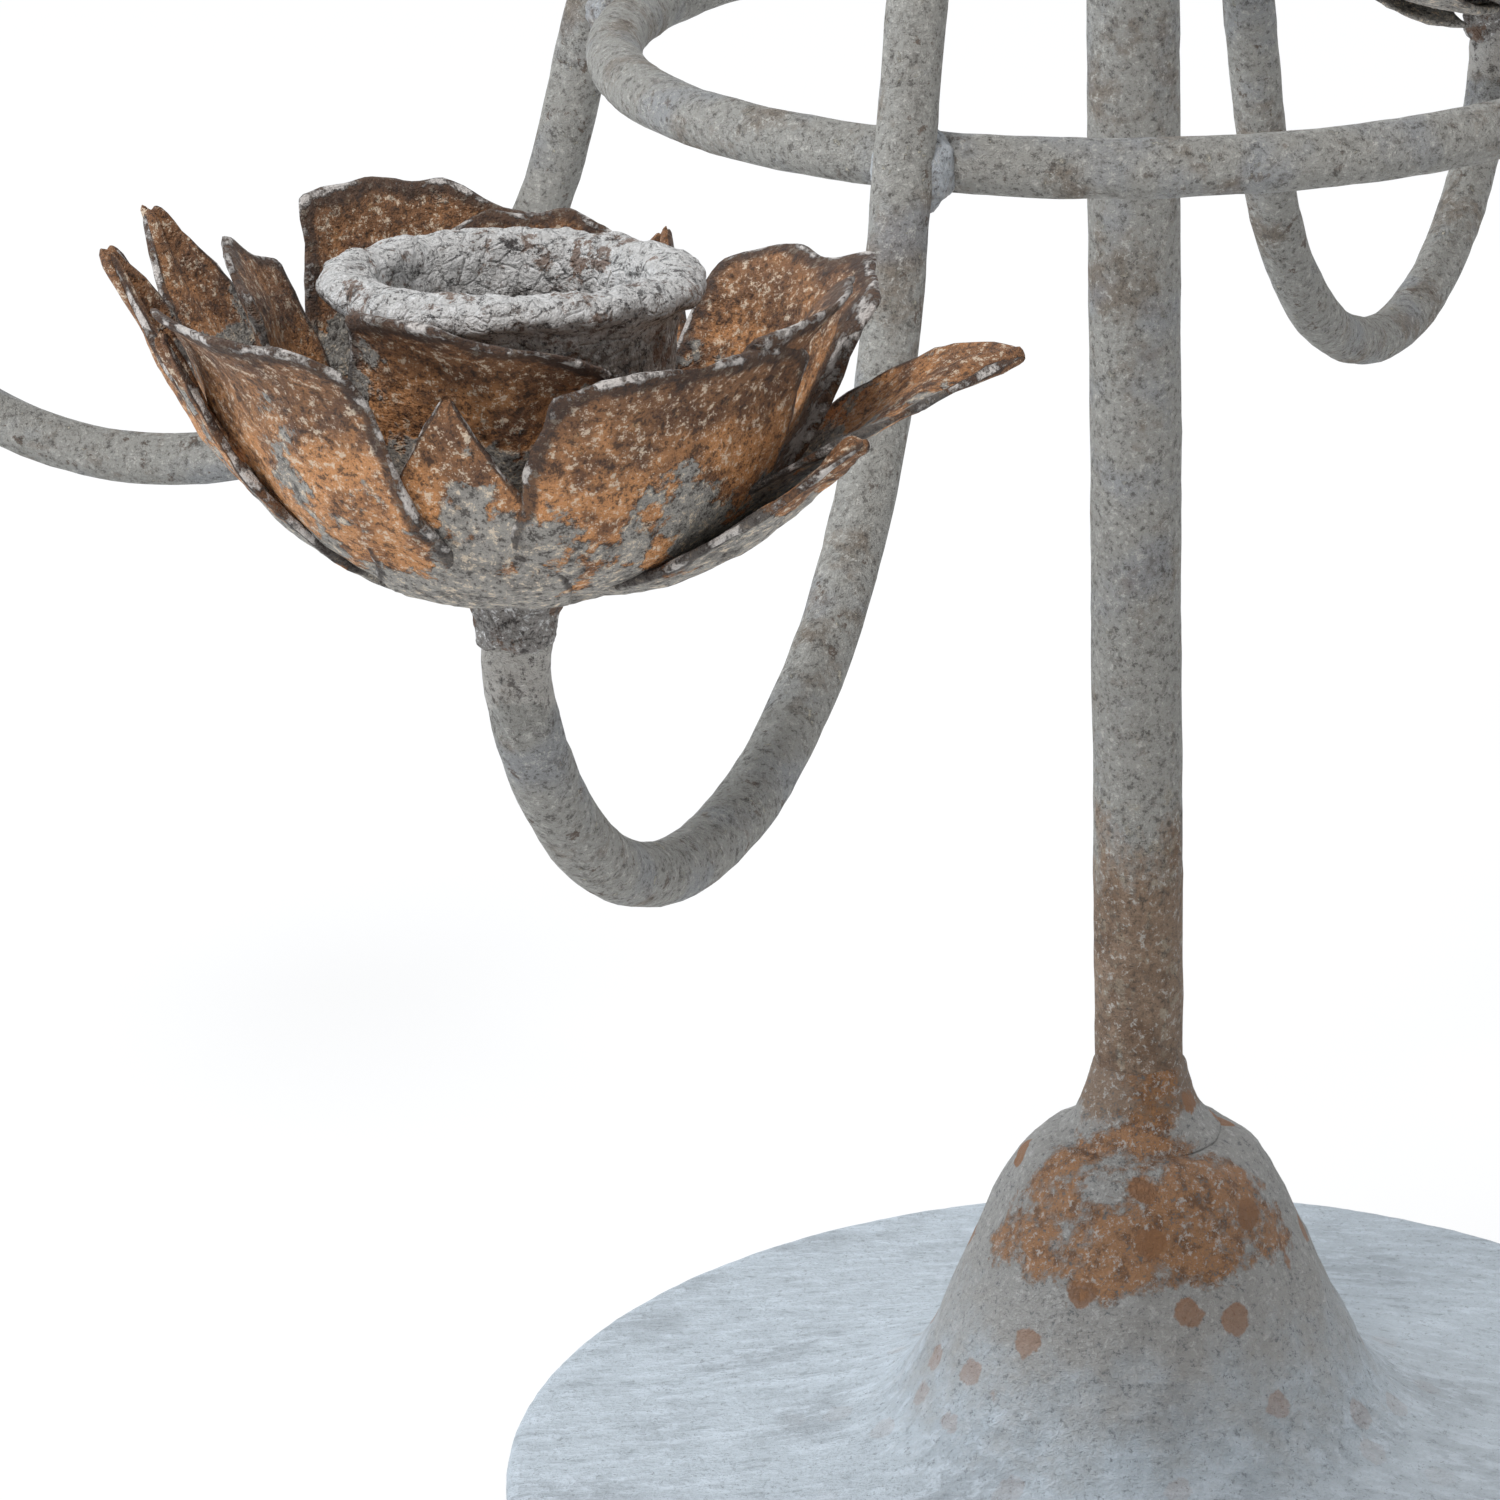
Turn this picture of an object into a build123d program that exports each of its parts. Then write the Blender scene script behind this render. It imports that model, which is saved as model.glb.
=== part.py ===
from build123d import *
from math import cos, radians, sin, tan
import os

# Four-armed candlestick of bent round bar. A stem stands in a cast base and carries a
# collar at its top. Four arms leave the collar, lean out, pass a spreader ring that they
# are welded to, and hook up into cups that sit inside sheet-metal flowers.
# Millimetres and degrees. +Z is up, the origin is the middle of the felt under the base,
# and -Y is the front. An azimuth is counted anticlockwise from +X, seen from above.

# Bars
rod_diameter = 6.5
rod_sides = 10
rod_gap = 0.1
stem_diameter = 10.8

# Base
felt_thickness = 1.2
felt_margin = 4.0
base_radius = 80.0
base_edge_height = 4.0
base_edge_chamfer = 0.9
bell_height = 43.6
bell_top_radius = 10.0
stem_bore_clearance = 0.1
tenon_diameter = 8.0
tenon_floor = 5.5
nut_recess_radius = 12.5
nut_recess_depth = 9.6
washer_side = 16.0
washer_thickness = 1.6
nut_across_flats = 13.0
nut_height = 6.5
tenon_end_gap = 0.8
neck_bead_width = 4.2
neck_bead_height = 9.5

# Sweep of the plate into the bell, from the plate up: radius, height above the plate's edge
bell_sweep = [(46.0, 3.4), (35.0, 5.4), (30.0, 8.6), (26.2, 14.5), (17.7, 34.4), (14.2, 40.4)]

# Cage
ring_radius = 60.0
ring_above_base_edge = 180.8
arm_lean = 15.0
cage_height = 132.0
crown_bend_radius = 22.0
twist_blend = 6.0
weld_bead_radius = 6.0
weld_bead_sides = 8
weld_bead_half_depth = 3.2
weld_bead_slope = 25.0

# Top
collar_radius = 13.0
collar_height = 12.0
arm_socket_depth = 5.0
finial_radius = 8.0
finial_foot_radius = 6.5
finial_neck_radius = 4.8
finial_height = 22.0
finial_neck_height = 4.4
finial_waist_height = 9.9
finial_stud_diameter = 5.0
finial_stud_length = 8.0

# Hooks
hook_inner_radius = 58.3
hook_outer_radius = 47.3
seat_bend_radius = 20.0
seat_straight = 5.0

# Each arm: where it meets the ring, how far its hook is turned from there, how far below
# the ring the hook starts, how far its outer bend goes, how far its cup leans to the
# stem, and how its flower is turned. They are set by hand, so no two are quite alike.
arms = {
    "front": (-111.6, 3.1, 11.7, 64.0, 4.0, 6.0),
    "right": (-17.0, -2.0, 16.0, 63.0, 0.0, 56.0),
    "back": (78.4, -9.2, 27.8, 54.0, 1.0, 166.0),
    "left": (163.7, 3.4, 16.6, 64.0, 0.0, 256.0),
}

# Flower, from its bottom up: calyx, outer petals, inner petals, candle cup
sheet_thickness = 1.0
tenon_side = 4.5
tenon_clearance = 0.1
braze_height = 5.0
braze_top_radius = 4.8
braze_bottom_radius = 3.9

# Each petal of a ring: its azimuth in the flower, where -90 is the front, how far its tip
# stands from the flower's axis and how high above the ring's floor
sepals = [
    (0.0, 46.0, 22.0),
    (-32.0, 35.5, 17.0),
    (-106.0, 33.0, 24.5),
    (-160.0, 37.0, 26.0),
    (176.0, 39.5, 30.5),
    (118.0, 37.0, 28.0),
    (58.0, 38.0, 25.0),
]
outer_petals = [(-55.0, 28.5, 26.0), (-146.0, 32.0, 28.5), (108.0, 29.0, 30.0), (28.0, 33.0, 27.0)]
inner_petals = [(-98.0, 23.0, 27.5), (-20.0, 27.5, 27.5), (82.0, 24.0, 27.0), (172.0, 24.5, 28.0)]

# The folds that all petals of a ring share below their tips, as (radius, height), and
# half the petal's width at the root, at each fold and at the tip
sepal_folds = [(10.0, 0.0), (24.0, 9.5)]
sepal_widths = [5.0, 7.0, 0.8]
outer_folds = [(8.6, 0.0), (17.6, 6.6), (25.0, 20.0)]
outer_widths = [4.5, 7.0, 13.5, 10.0]
inner_folds = [(7.4, 0.0), (14.6, 5.4), (19.8, 19.0)]
inner_widths = [3.6, 4.5, 11.0, 8.0]

# Candle cup
candle_bore_diameter = 24.5
cup_depth = 22.5
cup_height = 28.0
cup_wall_top = 3.2
cup_wall_bottom = 1.6
cup_foot_radius = 7.0
cup_boss_height = 5.5
cup_rim_radius = 18.1
cup_rim_height = 3.4
cup_rim_slope = 1.2

# Places that follow from the sizes above
base_bottom = felt_thickness
base_edge_top = base_bottom + base_edge_height
ring_height = base_edge_top + ring_above_base_edge
collar_middle = ring_height + cage_height
bell_top = base_edge_top + bell_height
recess_top = base_bottom + nut_recess_depth
tenon_shoulder = recess_top + tenon_floor
stem_radius = stem_diameter / 2
rod_radius = rod_diameter / 2
tenon_radius = tenon_diameter / 2
contact_radius = ring_radius + (rod_diameter + rod_gap) / cos(radians(arm_lean))

os.makedirs("parts", exist_ok=True)


def save(name, part):
    part.label = name
    export_step(part, f"parts/{name}.step")


def level(azimuth):
    """The level unit vector that points to an azimuth."""
    return Vector(cos(radians(azimuth)), sin(radians(azimuth)), 0)


def upright_plane(origin, azimuth):
    """A vertical plane whose x axis runs level towards the azimuth and whose y axis is up."""
    return Plane(origin=origin, x_dir=level(azimuth), z_dir=level(azimuth - 90))


# Base: a cast plate with a bell in its middle, hollowed underneath for the nut
bell_points = [(radius, base_edge_top + height) for radius, height in bell_sweep]
with BuildPart() as base_plate:
    with BuildSketch(Plane.XZ) as base_section:
        with BuildLine() as base_outline:
            Polyline(
                (0, base_bottom),
                (base_radius, base_bottom),
                (base_radius, base_edge_top),
                *bell_points,
                (bell_top_radius, bell_top),
                (0, bell_top),
                close=True,
            )
        make_face()
        edge = base_section.vertices().sort_by_distance((base_radius, base_edge_top))[0]
        chamfer(edge, length=base_edge_chamfer)
    revolve(axis=Axis.Z)
    with BuildSketch(Plane.XY.offset(base_bottom)):
        Circle(nut_recess_radius)
    extrude(amount=nut_recess_depth, mode=Mode.SUBTRACT)
    with BuildSketch(Plane.XY.offset(recess_top)):
        Circle(tenon_radius + stem_bore_clearance)
    extrude(amount=tenon_floor, mode=Mode.SUBTRACT)
    with BuildSketch(Plane.XY.offset(tenon_shoulder)):
        Circle(stem_radius + stem_bore_clearance)
    extrude(amount=bell_top - tenon_shoulder, mode=Mode.SUBTRACT)
save("base_plate", base_plate.part)

with BuildPart() as base_felt:
    with BuildSketch():
        Circle(base_radius - felt_margin)
    extrude(amount=felt_thickness)
save("base_felt", base_felt.part)

with BuildPart() as base_washer:
    with BuildSketch(Plane.XY.offset(recess_top - washer_thickness)):
        Rectangle(washer_side, washer_side)
        Circle(tenon_radius + stem_bore_clearance, mode=Mode.SUBTRACT)
    extrude(amount=washer_thickness)
save("base_washer", base_washer.part)

with BuildPart() as base_nut:
    with BuildSketch(Plane.XY.offset(recess_top - washer_thickness - nut_height)):
        RegularPolygon(nut_across_flats / 2, side_count=6, major_radius=False)
        Circle(tenon_radius + stem_bore_clearance, mode=Mode.SUBTRACT)
    extrude(amount=nut_height)
save("base_nut", base_nut.part)

# Stem: one bar, turned down at its foot for the nut and at its top for the collar
collar_bottom = collar_middle - collar_height / 2
collar_top = collar_middle + collar_height / 2
stem_top = collar_top + finial_stud_length
tenon_bottom = base_bottom + tenon_end_gap
with BuildPart() as stem:
    with BuildSketch(Plane.XZ):
        with BuildLine():
            Polyline(
                (0, tenon_bottom),
                (tenon_radius, tenon_bottom),
                (tenon_radius, tenon_shoulder),
                (stem_radius, tenon_shoulder),
                (stem_radius, collar_bottom),
                (tenon_radius, collar_bottom),
                (tenon_radius, collar_top),
                (finial_stud_diameter / 2, collar_top),
                (finial_stud_diameter / 2, stem_top),
                (0, stem_top),
                close=True,
            )
        make_face()
    revolve(axis=Axis.Z)
save("stem", stem.part)

# Neck bead: the brazed fillet where the stem leaves the bell
with BuildPart() as neck_bead:
    with BuildSketch(Plane.XZ):
        with BuildLine():
            Polyline(
                (stem_radius, bell_top),
                (stem_radius + neck_bead_width, bell_top),
                (stem_radius, bell_top + neck_bead_height),
                close=True,
            )
        make_face()
    revolve(axis=Axis.Z)
save("neck_bead", neck_bead.part)

# Spreader ring
with BuildPart() as spreader_ring:
    with BuildSketch(Plane.XZ):
        with Locations((ring_radius, ring_height)):
            RegularPolygon(rod_radius, side_count=rod_sides)
    revolve(axis=Axis.Z)
save("spreader_ring", spreader_ring.part)

# Collar at the top of the stem, with a socket for each arm, and the finial that holds it
with BuildPart() as top_collar:
    with BuildSketch(Plane.XY.offset(collar_bottom)):
        Circle(collar_radius)
    extrude(amount=collar_height)
    with BuildSketch(Plane.XY.offset(collar_bottom)):
        Circle(tenon_radius + stem_bore_clearance)
    extrude(amount=collar_height, mode=Mode.SUBTRACT)
    for azimuth, *_ in arms.values():
        mouth = Vector(0, 0, collar_middle) + level(azimuth) * collar_radius
        with BuildSketch(Plane(origin=mouth, x_dir=level(azimuth + 90), z_dir=level(azimuth))):
            RegularPolygon(rod_radius + stem_bore_clearance, side_count=rod_sides)
        extrude(amount=-arm_socket_depth, mode=Mode.SUBTRACT)
save("top_collar", top_collar.part)

with BuildPart() as finial:
    with BuildSketch(Plane.XZ):
        with BuildLine():
            Polyline(
                (0, collar_top),
                (finial_foot_radius, collar_top),
                (finial_neck_radius, collar_top + finial_neck_height),
                (finial_radius, collar_top + finial_waist_height),
                (0, collar_top + finial_height),
                close=True,
            )
        make_face()
    revolve(axis=Axis.Z)
    with BuildSketch(Plane.XY.offset(collar_top)):
        Circle(finial_stud_diameter / 2 + stem_bore_clearance)
    extrude(amount=finial_stud_length + tenon_end_gap, mode=Mode.SUBTRACT)
save("finial", finial.part)

# The flower's pieces, made once around their own axis with the calyx floor at zero


def folded_petal(folds, widths, reach, rise):
    """One petal of folded sheet that leaves the floor along +X and is cut to its outline."""
    with BuildPart() as petal:
        with BuildSketch(Plane.XZ):
            with BuildLine():
                Polyline((0, 0), *folds, (reach, rise))
            trace(line_width=sheet_thickness)
        extrude(amount=max(widths), both=True)
        with BuildSketch(Plane.YZ):
            with BuildLine():
                fold_points = [(width, height) for width, (_, height) in zip(widths[1:-1], folds[1:])]
                Polyline(
                    (0, -sheet_thickness),
                    (widths[0], -sheet_thickness),
                    *fold_points,
                    (widths[-1], rise + sheet_thickness),
                    (0, rise + sheet_thickness),
                )
                mirror(about=Plane.YZ)
            make_face()
        extrude(amount=reach + sheet_thickness, mode=Mode.INTERSECT)
    return petal.part


def petal_ring(petals, folds, widths, floor_height):
    """Petals around a round floor that has a square hole for the arm's tenon."""
    with BuildPart() as ring:
        with BuildSketch(Plane.XY.offset(floor_height)):
            RegularPolygon(folds[0][0], side_count=3 * len(petals))
        extrude(amount=sheet_thickness)
        for azimuth, reach, rise in petals:
            petal = folded_petal(folds, widths, reach, rise)
            with Locations((0, 0, floor_height + sheet_thickness / 2)):
                add(petal, rotation=(0, 0, azimuth))
        with BuildSketch(Plane.XY.offset(floor_height)):
            Rectangle(tenon_side + 2 * tenon_clearance, tenon_side + 2 * tenon_clearance)
        extrude(amount=sheet_thickness, mode=Mode.SUBTRACT)
    return ring.part


calyx = petal_ring(sepals, sepal_folds, sepal_widths, 0)
outer_ring = petal_ring(outer_petals, outer_folds, outer_widths, sheet_thickness)
inner_ring = petal_ring(inner_petals, inner_folds, inner_widths, 2 * sheet_thickness)

# Candle cup: a straight bore for the candle in a tapered wall with a thick rim
cup_floor = 3 * sheet_thickness
cup_top = cup_floor + cup_height
bore_radius = candle_bore_diameter / 2
bore_bottom = cup_top - cup_depth
rim_bottom = cup_top - cup_rim_height
with BuildPart() as candle_cup:
    with BuildSketch(Plane.XZ):
        with BuildLine():
            Polyline(
                (0, cup_floor),
                (cup_foot_radius, cup_floor),
                (bore_radius + cup_wall_bottom, cup_floor + cup_boss_height),
                (bore_radius + cup_wall_top, rim_bottom - cup_rim_slope),
                (cup_rim_radius, rim_bottom),
                (cup_rim_radius, cup_top),
                (bore_radius, cup_top),
                (bore_radius, bore_bottom),
                (0, bore_bottom),
                close=True,
            )
        make_face()
    revolve(axis=Axis.Z)
    with BuildSketch(Plane.XY.offset(cup_floor)):
        Rectangle(tenon_side + 2 * tenon_clearance, tenon_side + 2 * tenon_clearance)
    extrude(amount=bore_bottom - cup_floor, mode=Mode.SUBTRACT)
tenon_length = bore_bottom - tenon_clearance

for place, (azimuth, twist, hook_drop, outer_sweep, cup_lean, flower_turn) in arms.items():
    contact = Vector(0, 0, ring_height) + level(azimuth) * contact_radius
    slant = radians(arm_lean)

    # The arm's centreline: out of the collar and down past the ring in one upright plane
    bend_drop = crown_bend_radius * (1 - sin(slant))
    bend_end = contact_radius - (cage_height - bend_drop) * tan(slant)
    bend_start = bend_end - crown_bend_radius * cos(slant)
    with BuildLine(upright_plane((0, 0, ring_height), azimuth)) as crown:
        tail = Line((collar_radius - arm_socket_depth, cage_height), (bend_start, cage_height))
        bend = JernArc(tail @ 1, tail % 1, crown_bend_radius, arm_lean - 90)
        drop = contact - (bend % 1) * twist_blend
        Line(bend @ 1, drop)

    # then its hook, in a second plane that is turned a little about the ring
    heading = azimuth + twist
    with BuildLine(upright_plane(contact, heading)) as hook:
        hook_start = (hook_drop * tan(slant), -hook_drop)
        blend_end = (twist_blend * sin(slant), -twist_blend * cos(slant))
        shank = Line(blend_end, hook_start)
        inner = JernArc(shank @ 1, shank % 1, hook_inner_radius, 90 - arm_lean)
        outer = JernArc(inner @ 1, inner % 1, hook_outer_radius, outer_sweep)
        bend_up = JernArc(outer @ 1, outer % 1, seat_bend_radius, 90 - outer_sweep + cup_lean)
        rise = Line(bend_up @ 1, bend_up @ 1 + (bend_up % 1) * seat_straight)
    with BuildLine() as centreline:
        add(crown.line)
        TangentArc(drop, shank @ 0, tangent=bend % 1)
        add(hook.line)

    seat = rise @ 1
    cup_axis = rise % 1
    seat_plane = Plane(origin=seat, x_dir=level(flower_turn), z_dir=cup_axis)
    start_plane = Plane(origin=tail @ 0, x_dir=level(azimuth + 90), z_dir=tail % 0)
    with BuildPart() as arm:
        with BuildSketch(start_plane):
            RegularPolygon(rod_radius, side_count=rod_sides)
        sweep(path=centreline.wires()[0])
        with BuildSketch(seat_plane):
            Rectangle(tenon_side, tenon_side)
        extrude(amount=tenon_length)
    save(f"arm_{place}", arm.part)

    # Weld bead that fills the corners where the ring and the arm cross
    bead_middle = contact - level(azimuth) * (rod_diameter + rod_gap) / 2
    with BuildPart() as ring_weld:
        with BuildSketch(Plane(origin=bead_middle, x_dir=level(azimuth + 90), z_dir=level(azimuth))):
            RegularPolygon(weld_bead_radius, side_count=weld_bead_sides)
        extrude(amount=weld_bead_half_depth, both=True, taper=weld_bead_slope)
        add(spreader_ring.part, mode=Mode.SUBTRACT)
        add(arm.part, mode=Mode.SUBTRACT)
    save(f"ring_weld_{place}", ring_weld.part)

    # Brazed sleeve around the end of the arm, under the calyx
    with BuildPart() as cup_braze:
        with BuildSketch(seat_plane):
            RegularPolygon(braze_top_radius, side_count=rod_sides)
        with BuildSketch(seat_plane.offset(-braze_height)):
            RegularPolygon(braze_bottom_radius, side_count=rod_sides)
        loft()
        add(arm.part, mode=Mode.SUBTRACT)
    save(f"cup_braze_{place}", cup_braze.part)

    for name, piece in {
        "calyx": calyx,
        "outer_petals": outer_ring,
        "inner_petals": inner_ring,
        "candle_cup": candle_cup.part,
    }.items():
        with BuildPart(seat_plane) as placed:
            add(piece)
        save(f"{name}_{place}", placed.part)

    mouth = seat + cup_axis * cup_top
    print(place, "mouth", mouth, "axis", cup_axis, "bore bottom", seat + cup_axis * bore_bottom)
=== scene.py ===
# %% [markdown]
# # A painted candlestick with four flower cups
# The candlestick is a welded thing: round bar, a cast base and cups inside flowers of thin
# sheet. Its measured solids come in first, and everything modelled here stands in for one
# of them. So the pieces are put where the solids are, and none has to be fitted by eye.

# %% Load the measured solids
import bpy
from math import ceil, cos, pi, radians, sin, tan
from mathutils import Matrix, Vector, noise


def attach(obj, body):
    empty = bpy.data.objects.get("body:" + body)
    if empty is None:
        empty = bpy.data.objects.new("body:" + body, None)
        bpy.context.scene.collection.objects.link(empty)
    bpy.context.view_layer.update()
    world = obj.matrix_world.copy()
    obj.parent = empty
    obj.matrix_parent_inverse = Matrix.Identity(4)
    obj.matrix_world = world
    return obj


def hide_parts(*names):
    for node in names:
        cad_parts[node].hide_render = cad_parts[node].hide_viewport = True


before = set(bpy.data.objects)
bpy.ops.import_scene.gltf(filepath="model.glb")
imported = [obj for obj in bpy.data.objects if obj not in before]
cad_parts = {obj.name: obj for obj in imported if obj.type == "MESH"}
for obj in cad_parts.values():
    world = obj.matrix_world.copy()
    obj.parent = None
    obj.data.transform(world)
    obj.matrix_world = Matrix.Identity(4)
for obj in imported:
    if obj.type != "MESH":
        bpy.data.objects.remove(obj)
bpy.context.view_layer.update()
MM = 0.001
scene = bpy.context.scene

# %% [markdown]
# ## Working one piece at a time
# An operator works on whatever is selected, and loading leaves every solid selected. So
# each step starts by selecting its own piece and nothing else. A finished piece has its
# place in its mesh and its object at the origin, so that paint patterns stay put on it.

# %% Selecting and finishing a piece
def only(piece):
    if bpy.context.object and bpy.context.object.mode == "EDIT":
        bpy.ops.object.mode_set(mode="OBJECT")
    bpy.ops.object.select_all(action="DESELECT")
    piece.select_set(True)
    bpy.context.view_layer.objects.active = piece


def settle(piece):
    only(piece)
    bpy.ops.object.transform_apply(location=True, rotation=True, scale=True)


def apply_all(piece):
    only(piece)
    for modifier in list(piece.modifiers):
        bpy.ops.object.modifier_apply(modifier=modifier.name)


def stand_in(piece, name, node, material):
    """Name a finished piece, paint it and let it stand for its measured solid."""
    piece.name = name
    piece.data.name = name
    piece.data.materials.clear()
    piece.data.materials.append(material)
    only(piece)
    bpy.ops.object.shade_smooth()
    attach(piece, "root")
    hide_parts(node)
    print(name, "stands for", node, "with", len(piece.data.polygons), "faces")


# %% [markdown]
# ## Lumps and flakes
# Old paint in many coats is never smooth: it sags, flakes and swells over rust. A texture
# that only tilts the light would leave the outline too clean, so a Displace modifier moves
# the surface itself by a fraction of a millimetre, and is applied.

# %% Make a surface uneven
def roughen(piece, height, size, depth=2, group=""):
    cloud = bpy.data.textures.new(f"{piece.name} lumps", "CLOUDS")
    cloud.noise_scale = size * MM
    cloud.noise_depth = depth
    lumps = piece.modifiers.new("lumps", "DISPLACE")
    lumps.texture = cloud
    lumps.texture_coords = "LOCAL"
    lumps.strength = height * MM
    lumps.mid_level = 0.5
    lumps.vertex_group = group
    apply_all(piece)


def mark_vertices(piece, group_name, weight_at):
    group = piece.vertex_groups.new(name=group_name)
    for vertex in piece.data.vertices:
        weight = weight_at(vertex.co)
        if weight > 0:
            group.add([vertex.index], min(weight, 1), "REPLACE")


def give_values(piece, name, value_at):
    """Store a number from nought to one on each vertex, which the finishes can read."""
    values = [max(0.0, min(1.0, value_at(vertex.co))) for vertex in piece.data.vertices]
    piece.data.attributes.new(name, "FLOAT", "POINT").data.foreach_set("value", values)


# %% [markdown]
# ## Colours
# Paint colours are written as they look on a screen, from 0 to 255. The shader wants them
# linear, so one small function converts them.

# %% Colours as they look on a screen
SRGB_KNEE = 0.04045
SRGB_SLOPE = 12.92
SRGB_OFFSET = 0.055
SRGB_POWER = 2.4


def screen_colour(red, green, blue):
    linear = []
    for value in (red, green, blue):
        share = value / 255
        if share <= SRGB_KNEE:
            linear.append(share / SRGB_SLOPE)
        else:
            linear.append(((share + SRGB_OFFSET) / (1 + SRGB_OFFSET)) ** SRGB_POWER)
    return (*linear, 1)


print("middle grey in linear light:", round(screen_colour(128, 128, 128)[0], 3))

# %% [markdown]
# ## Coats of paint
# Every finish is made of coats, and each coat covers the ones below only where its mask
# lets it. One small class adds a coat at a time, so that each paint below reads like the
# list of what was done to the metal. Sizes are in millimetres.

# %% A material built up in coats
# A Mix node has one set of sockets for each kind of data. These are the ones for colours.
COAT_BELOW, COAT_ABOVE, COAT_RESULT = 6, 7, 2


class Paint:
    """A material whose colour is built up in coats, the way the real finish was."""

    def __init__(self, name, ground, roughness=0.75, metallic=0.0):
        self.material = bpy.data.materials.new(name)
        self.material.use_nodes = True
        self.nodes = self.material.node_tree.nodes
        self.links = self.material.node_tree.links
        self.shader = self.nodes["Principled BSDF"]
        self.shader.inputs["Metallic"].default_value = metallic
        self.shader.inputs["Roughness"].default_value = roughness
        self.place = self.nodes.new("ShaderNodeTexCoord").outputs["Object"]
        self.colour = self.nodes.new("ShaderNodeRGB").outputs[0]
        self.colour.default_value = screen_colour(*ground)

    def clouds(self, size, detail=5, roughness=0.6, stretch=(1, 1, 1), shift=0.0):
        turn = self.nodes.new("ShaderNodeMapping")
        turn.inputs["Scale"].default_value = stretch
        turn.inputs["Location"].default_value = (shift, shift * 0.7, shift * 1.3)
        self.links.new(self.place, turn.inputs["Vector"])
        cloud = self.nodes.new("ShaderNodeTexNoise")
        cloud.inputs["Scale"].default_value = 1 / (size * MM)
        cloud.inputs["Detail"].default_value = detail
        cloud.inputs["Roughness"].default_value = roughness
        self.links.new(turn.outputs[0], cloud.inputs["Vector"])
        return cloud.outputs["Fac"]

    def cells(self, size, feature="F1"):
        cell = self.nodes.new("ShaderNodeTexVoronoi")
        cell.feature = feature
        cell.inputs["Scale"].default_value = 1 / (size * MM)
        self.links.new(self.place, cell.inputs["Vector"])
        return cell.outputs["Distance"]

    def attribute(self, name):
        reader = self.nodes.new("ShaderNodeAttribute")
        reader.attribute_name = name
        return reader.outputs["Fac"]

    def along(self, axis):
        split = self.nodes.new("ShaderNodeSeparateXYZ")
        self.links.new(self.place, split.inputs[0])
        return split.outputs[axis]

    def between(self, value, low, high):
        step = self.nodes.new("ShaderNodeMapRange")
        step.inputs["From Min"].default_value = low
        step.inputs["From Max"].default_value = high
        self.links.new(value, step.inputs["Value"])
        return step.outputs["Result"]

    def reckon(self, operation, first, second):
        result = self.nodes.new("ShaderNodeMath")
        result.operation = operation
        for socket, value in zip(result.inputs, (first, second)):
            if isinstance(value, (int, float)):
                socket.default_value = value
            else:
                self.links.new(value, socket)
        return result.outputs[0]

    def plus(self, first, second):
        return self.reckon("ADD", first, second)

    def minus(self, first, second):
        return self.reckon("SUBTRACT", first, second)

    def times(self, first, second):
        return self.reckon("MULTIPLY", first, second)

    def coat(self, colour, mask, strength=1.0):
        mix = self.nodes.new("ShaderNodeMix")
        mix.data_type = "RGBA"
        self.links.new(self.times(mask, strength), mix.inputs["Factor"])
        self.links.new(self.colour, mix.inputs[COAT_BELOW])
        mix.inputs[COAT_ABOVE].default_value = screen_colour(*colour)
        self.colour = mix.outputs[COAT_RESULT]

    def finish(self, relief, depth, roughness_mask=None, rough=(0.6, 0.9)):
        self.links.new(self.colour, self.shader.inputs["Base Color"])
        bump = self.nodes.new("ShaderNodeBump")
        bump.inputs["Distance"].default_value = depth * MM
        bump.inputs["Strength"].default_value = 1.0
        self.links.new(relief, bump.inputs["Height"])
        self.links.new(bump.outputs[0], self.shader.inputs["Normal"])
        if roughness_mask is not None:
            spread = self.nodes.new("ShaderNodeMapRange")
            spread.inputs["To Min"].default_value = rough[0]
            spread.inputs["To Max"].default_value = rough[1]
            self.links.new(roughness_mask, spread.inputs["Value"])
            self.links.new(spread.outputs[0], self.shader.inputs["Roughness"])
        print("finish:", self.material.name)
        return self.material


# %% [markdown]
# ## Bar paint
# The bars carry a chalky grey-beige paint. It has brown under it that shows through in
# soft mottles, and small cream and dark flecks where it has chipped. Each of these is a
# coat with its own mask, from the widest mottle to the finest fleck.

# %% Colours on the bars
CHALK = (161, 158, 151)
BEAD_CHALK = (184, 187, 190)
UNDERCOAT = (112, 94, 74)
COOL_GREY = (150, 153, 158)
WORN_BROWN = (138, 108, 80)
SAND = (166, 154, 134)
OLD_RUST = (92, 66, 46)
DARK_CHIP = (84, 64, 48)
CREAM = (214, 204, 184)
GRAIN_SHADE = (88, 82, 75)
FLAKE = (200, 194, 186)
# Dark between the flakes at an arm's end: partly cracks, partly painted shade.
CRACK_AND_SHADE = (56, 46, 40)
DARK_SPECK = (62, 56, 50)
PALE_SPECK = (206, 202, 194)
print("the bars' ground coat:", CHALK)


# %% Bar paint
def wear_foot(paint, mottle, low, high):
    """Brown up to the height low, which thins out until the height high."""
    drop = paint.between(paint.along("Z"), high * MM, low * MM)
    worn = paint.plus(drop, paint.clouds(7, 8, 0.75, (1, 1, 0.45)))
    paint.coat(WORN_BROWN, paint.between(worn, 0.98, 1.12), 0.85)
    freckles = paint.between(paint.clouds(2.6, 5, 0.7, shift=7.0), 0.56, 0.62)
    paint.coat(SAND, paint.times(freckles, paint.between(worn, 0.8, 1.0)), 0.7)
    deep = paint.times(paint.between(mottle, 0.45, 0.6), paint.between(worn, 1.0, 1.3))
    paint.coat(OLD_RUST, deep, 0.7)


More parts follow.
